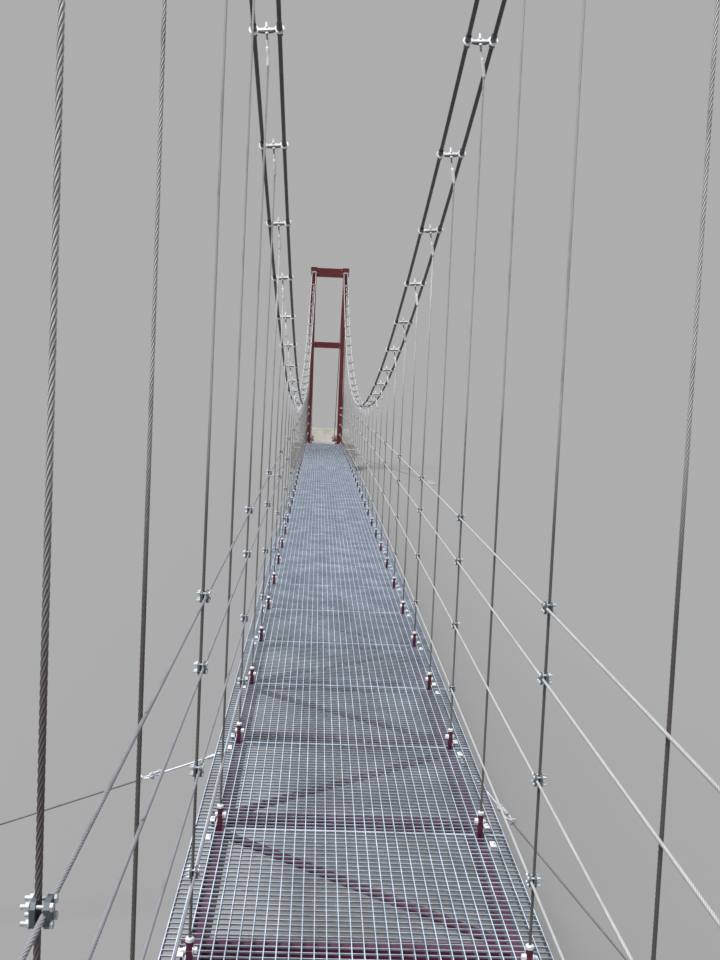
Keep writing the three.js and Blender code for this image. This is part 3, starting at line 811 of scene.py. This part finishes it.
def add_panel(shape, from_y, to_y):
    """Bearing bars along the deck, rods across it just under their tops, and a bar across each end"""
    low_y, high_y = from_y + PANEL_GAP / 2, to_y - PANEL_GAP / 2
    bar_places = [(i - (BAR_COUNT - 1) / 2) * BAR_PITCH for i in range(BAR_COUNT)]
    for x in bar_places:
        start, end = (Vector((x, y, panel_line(from_y, to_y, y) - BAR_DEPTH / 2)) for y in (low_y, high_y))
        shape.bar(start, end, BAR_WIDTH, BAR_DEPTH)
    half_width = bar_places[-1]
    count = max(2, round(CROSS_ROD_COUNT * (to_y - from_y) / BAY))
    pitch = (high_y - low_y) / (count + 1)
    for i in range(1, count + 1):
        y = low_y + i * pitch
        z = panel_line(from_y, to_y, y) - CROSS_ROD_DEPTH / 2 - CROSS_ROD_BELOW_TOP
        shape.box((2 * half_width, CROSS_ROD_WIDTH, CROSS_ROD_DEPTH), (0, y, z))
    lug_cell = bar_places[-4:-2]
    for y in (low_y + END_BAR_WIDTH / 2, high_y - END_BAR_WIDTH / 2):
        z = panel_line(from_y, to_y, y) - END_BAR_DEPTH / 2
        shape.box((2 * lug_cell[0], END_BAR_WIDTH, END_BAR_DEPTH), (0, y, z))
        for side in SIDES.values():
            width = half_width - lug_cell[1]
            shape.box((width, END_BAR_WIDTH, END_BAR_DEPTH), (side * (lug_cell[1] + width / 2), y, z))


def clip_shape():
    """A saddle clip that holds two bearing bars down, with its bolt"""
    shape = Shape()
    shape.box((0.0150, 0.0240, 0.0018), (0, 0, 0.0009))
    for x in (-0.0066, 0.0066):
        shape.box((0.0018, 0.0240, 0.0060), (x, 0, -0.0012))
    shape.nut((0, 0, 0.0018), UP, 0.0065, 0.0030)
    return shape


def add_grating(length_name, span):
    grating = Shape()
    edges = panel_edges()
    for from_y, to_y in zip(edges, edges[1:]):
        if span[0] <= (from_y + to_y) / 2 < span[1]:
            add_panel(grating, from_y, to_y)
    node = f"grating_{length_name}"
    grating.make(f"grating_bars_{length_name}", GRATING_ZINC, "galvanised", [node])
    clips = Shape()
    clip = clip_shape()
    for station in STATIONS:
        y = station_y(station)
        if span[0] <= y < span[1]:
            for side in SIDES.values():
                for offset in CLIP_OFFSETS:
                    place = Vector((side * CLIP_X, y + offset, deck_top(y + offset)))
                    turn = Matrix.Rotation(random.uniform(-0.08, 0.08), 4, "Z")
                    clips.copy_of(clip, Matrix.Translation(place) @ turn)
    clips.make(f"grating_clips_{length_name}", BRIGHT_ZINC, "galvanised", [node])


# Wind guys

def add_ring(shape, centre, one, other, radius):
    """A closed ring of round bar, from its two half sizes"""
    steps = 20
    turns = [2 * math.pi * i / steps for i in range(steps + 1)]
    shape.rope([centre + one * math.cos(a) + other * math.sin(a) for a in turns], radius, 10)


def add_guy_top(shape, top, along, side):
    """A bracket on the stringer, a tightening sleeve and screw, a link, and the rope's thimble and clip"""
    across = along.cross(UP).normalized()
    up = across.cross(along)
    sleeve_end, screw_end = top + along * 0.046, top + along * 0.158
    pin_half = Vector((0, 0.011, 0))
    shape.box((0.0030, 0.026, 0.022), top - Vector((side * 0.008, 0, 0)))
    shape.rod(top - pin_half, top + pin_half, 0.0030, 12)
    shape.rod(top - along * 0.002, sleeve_end, 0.0046, 16, 0.0008)
    shape.nut(top + along * 0.047, along, 0.0080, 0.0040, washer=False)
    shape.rod(sleeve_end, screw_end, 0.0023, 10)
    screw_eye, link_end = top + along * 0.164, top + along * 0.187
    add_ring(shape, screw_eye, along * 0.0065, across * 0.0055, 0.0019)
    for offset in (-0.0052, 0.0052):
        shape.bar(screw_end + up * offset, link_end + up * offset, 0.0085, 0.0022, up)
    for pin in (screw_eye, top + along * 0.181):
        shape.rod(pin - up * 0.0085, pin + up * 0.0085, 0.0025, 10)
    thimble, clip = top + along * 0.190, top + along * 0.207
    add_ring(shape, thimble, along * 0.0105, across * 0.0065, 0.0022)
    shape.bar(top + along * 0.202, top + along * 0.212, 0.0130, 0.0085, up)
    for offset in (-0.0042, 0.0042):
        shape.nut(clip + across * offset + up * 0.0042, up, 0.0062, 0.0034, washer=False)


def add_guy(node, side, end):
    """A rope from the stringer to an eye on a base plate, which stands where the CAD node ends"""
    low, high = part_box(node)
    top = Vector((side * GUY_TOP_X, end * GUY_Y, deck_top(GUY_Y) - GUY_TOP_BELOW_DECK))
    half_plate = GUY_PLATE_WIDTH / 2
    anchor_x = low.x + half_plate if side < 0 else high.x - half_plate
    anchor_y = low.y + half_plate if end < 0 else high.y - half_plate
    bottom = Vector((anchor_x, anchor_y, GUY_EYE_Z))
    along = (bottom - top).normalized()
    shape, rope, plate = Shape(), Shape(), Shape()
    add_guy_top(shape, top, along, side)
    rope_start, rope_end = top + along * 0.198, bottom - along * 0.075
    rope.rope(even_path(rope_start, rope_end, 90), GUY_RADIUS, 12)
    shape.rod(bottom - along * 0.080, bottom - along * 0.030, 0.0048, 14, 0.0008)
    shape.rod(bottom - along * 0.034, bottom - along * 0.010, 0.0036, 12)
    add_ring(shape, bottom, along * 0.010, UP * 0.012, 0.0034)
    plate_top = Vector((anchor_x, anchor_y, GUY_PLATE_THICKNESS))
    plate_size = (GUY_PLATE_WIDTH, GUY_PLATE_WIDTH, GUY_PLATE_THICKNESS)
    shape.rod(plate_top, bottom - UP * 0.009, 0.0060, 14)
    plate.box(plate_size, (anchor_x, anchor_y, GUY_PLATE_THICKNESS / 2))
    for a, b in CORNERS:
        seat = plate_top + Vector((a * GUY_BOLT_REACH, b * GUY_BOLT_REACH, 0))
        shape.stud(seat, UP, 0.014, 0.007, 0.006)
    name = node.replace("wind_guy_", "")
    rope.make(f"guy_rope_{name}", GUY_ROPE, "steel_rope", [node])
    shape.make(f"guy_fittings_{name}", PALE_ZINC, "galvanised", [node])
    add_bevel(plate.make(f"guy_plate_{name}", ZINC, "galvanised", [node]), 0.001)


# Towers: the CAD beams and posts stay, with bolts, gussets and end plates on them

def add_tower_details(end_name, end):
    bolts, plates = Shape(), Shape()
    y = end * TOWER_Y
    foot = END_DECK_Z + HAIR
    portal_z = sum(PORTAL_BEAM_Z) / 2
    top_z = cable_z(TOWER_Y) + TOP_BEAM_ABOVE_CABLE - TOP_JOINT_BELOW_BEAM_TOP
    saddle_z = cable_z(TOWER_Y) + SADDLE_BOLTS_ABOVE_CABLE
    edge, plate = POST_WIDTH / 2, BASE_PLATE_THICKNESS
    gusset = [(edge, plate), (GUSSET_REACH, plate), (GUSSET_REACH, GUSSET_TIP), (edge, GUSSET_TOP)]
    for side in SIDES.values():
        x = side * CABLE_HANGER_X
        for a, b in CORNERS:
            seat = (x + a * BASE_BOLT_REACH, y + b * BASE_BOLT_REACH, foot + plate)
            bolts.stud(seat, UP, 0.015, 0.008, 0.008)
        for a in (-1, 1):
            outline = [(y + a * out, foot + up) for out, up in gusset]
            plates.prism(outline, x - GUSSET_HALF_THICKNESS, x + GUSSET_HALF_THICKNESS)
        portal_seat = (x - side * POST_WIDTH / 2, y, portal_z)
        top_seat = (x - side * SADDLE_WIDTH / 2, y, top_z)
        add_beam_joint(bolts, plates, portal_seat, side, PORTAL_JOINT_SIZE)
        add_beam_joint(bolts, plates, top_seat, side, TOP_JOINT_SIZE)
        for place in (-1, 0, 1):
            seat = (x + side * SADDLE_WIDTH / 2, y + place * SADDLE_BOLT_SPACING, saddle_z)
            bolts.stud(seat, (side, 0, 0), 0.010, 0.005, 0.003)
    bolts.make(f"tower_bolts_{end_name}", ZINC, "galvanised")
    add_bevel(plates.make(f"tower_plates_{end_name}", RED, "red_paint"), 0.0008, 1)


def add_beam_joint(bolts, plates, seat, side, size):
    """An end plate on a beam where it meets a post or a saddle, with bolts on each side of the beam"""
    x, y, z = seat
    height, depth = size
    thickness = JOINT_PLATE_THICKNESS
    face_x = x - side * HAIR
    plates.box((thickness, depth + 0.034, height + 0.016), (face_x - side * thickness / 2, y, z))
    for a, b in CORNERS:
        bolt = (face_x - side * thickness, y + a * (depth / 2 + 0.009), z + b * height * 0.3)
        bolts.nut(bolt, (-side, 0, 0), 0.0105, 0.006)


def show_cad_nodes():
    """The CAD nodes that stay get their paint and soft edges"""
    for name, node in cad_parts.items():
        if node.hide_render:
            continue
        if "abutment" in name or "anchor_block" in name:
            look, edge = CONCRETE, CONCRETE_EDGE
        elif "deck" in name:
            look, edge = DECK_RED, DECK_EDGE
        else:
            look, edge = RED, TOWER_EDGE
        node.data.materials.clear()
        node.data.materials.append(look)
        add_bevel(node, edge)


def build_bridge():
    for side_name, side in SIDES.items():
        add_main_cables(side_name, side)
        add_hangers(side_name, side)
        add_rails(side_name, side)
    for length_name, span in LENGTHS.items():
        add_grating(length_name, span)
    for end_name, end in ENDS.items():
        add_tower_details(end_name, end)
        for side_name, side in SIDES.items():
            add_backstays(end_name, end, side_name, side)
            add_guy(f"wind_guy_{end_name}_{side_name}", side, end)
    show_cad_nodes()


# Studio

WORLD_LIGHT = 0.42
FLOOR_SHADE = 0.28
FLOOR_REACH = 600
SUN_WIDTH = math.radians(24)
SUN_DIRECTION = (0.38, 0.32, -1)
CAMERA_PLACE = (-0.0907, -8.5653, 1.2405)
CAMERA_YAW = 0.0393
CAMERA_PITCH = 0.0820
CAMERA_ROLL = 0.0417
SENSOR_WIDTH = 36
LENS = 42.08


def add_floor():
    mesh = bpy.data.meshes.new("floor")
    corners = [(a * FLOOR_REACH, b * FLOOR_REACH, 0) for a, b in CORNERS]
    mesh.from_pydata(corners, [], [[0, 2, 3, 1]])
    floor = bpy.data.objects.new("floor", mesh)
    bpy.context.scene.collection.objects.link(floor)
    n = Nodes("floor")
    shade = (FLOOR_SHADE, FLOOR_SHADE, FLOOR_SHADE * 1.01, 1)
    mesh.materials.append(n.finish(base_color=shade, roughness=0.95, specular_ior_level=0.0))


def add_lights():
    """A pale world and a wide sun, balanced so that the lit floor is as bright as the world behind it"""
    world = bpy.data.worlds.new("studio")
    world.use_nodes = True
    background = world.node_tree.nodes["Background"]
    background.inputs["Color"].default_value = (1, 1, 1.01, 1)
    background.inputs["Strength"].default_value = WORLD_LIGHT
    bpy.context.scene.world = world
    light = bpy.data.lights.new("sun", "SUN")
    light.angle = SUN_WIDTH
    direction = Vector(SUN_DIRECTION).normalized()
    light.energy = math.pi * WORLD_LIGHT * (1 - FLOOR_SHADE) / FLOOR_SHADE / -direction.z
    sun = bpy.data.objects.new("sun", light)
    sun.rotation_euler = direction.to_track_quat("-Z", "Y").to_euler()
    bpy.context.scene.collection.objects.link(sun)


def add_camera():
    """The photo's view: just inside the near tower, a little left of the middle and tilted"""
    yaw, pitch, roll = CAMERA_YAW, CAMERA_PITCH, CAMERA_ROLL
    forward = Vector((math.sin(yaw) * math.cos(pitch), math.cos(yaw) * math.cos(pitch), -math.sin(pitch)))
    level_right = Vector((math.cos(yaw), -math.sin(yaw), 0))
    level_up = level_right.cross(forward)
    right = level_right * math.cos(roll) + level_up * math.sin(roll)
    up = level_up * math.cos(roll) - level_right * math.sin(roll)
    camera_data = bpy.data.cameras.new("camera")
    camera_data.sensor_width = SENSOR_WIDTH
    camera_data.lens = LENS
    camera_data.clip_start = 0.01
    camera_data.clip_end = 2000
    camera = bpy.data.objects.new("camera", camera_data)
    turned = Matrix((right, up, -forward)).transposed().to_4x4()
    turned.translation = CAMERA_PLACE
    camera.matrix_world = turned
    bpy.context.scene.collection.objects.link(camera)
    bpy.context.scene.camera = camera


build_bridge()
add_floor()
add_lights()
add_camera()
bpy.context.scene.view_settings.view_transform = "Standard"
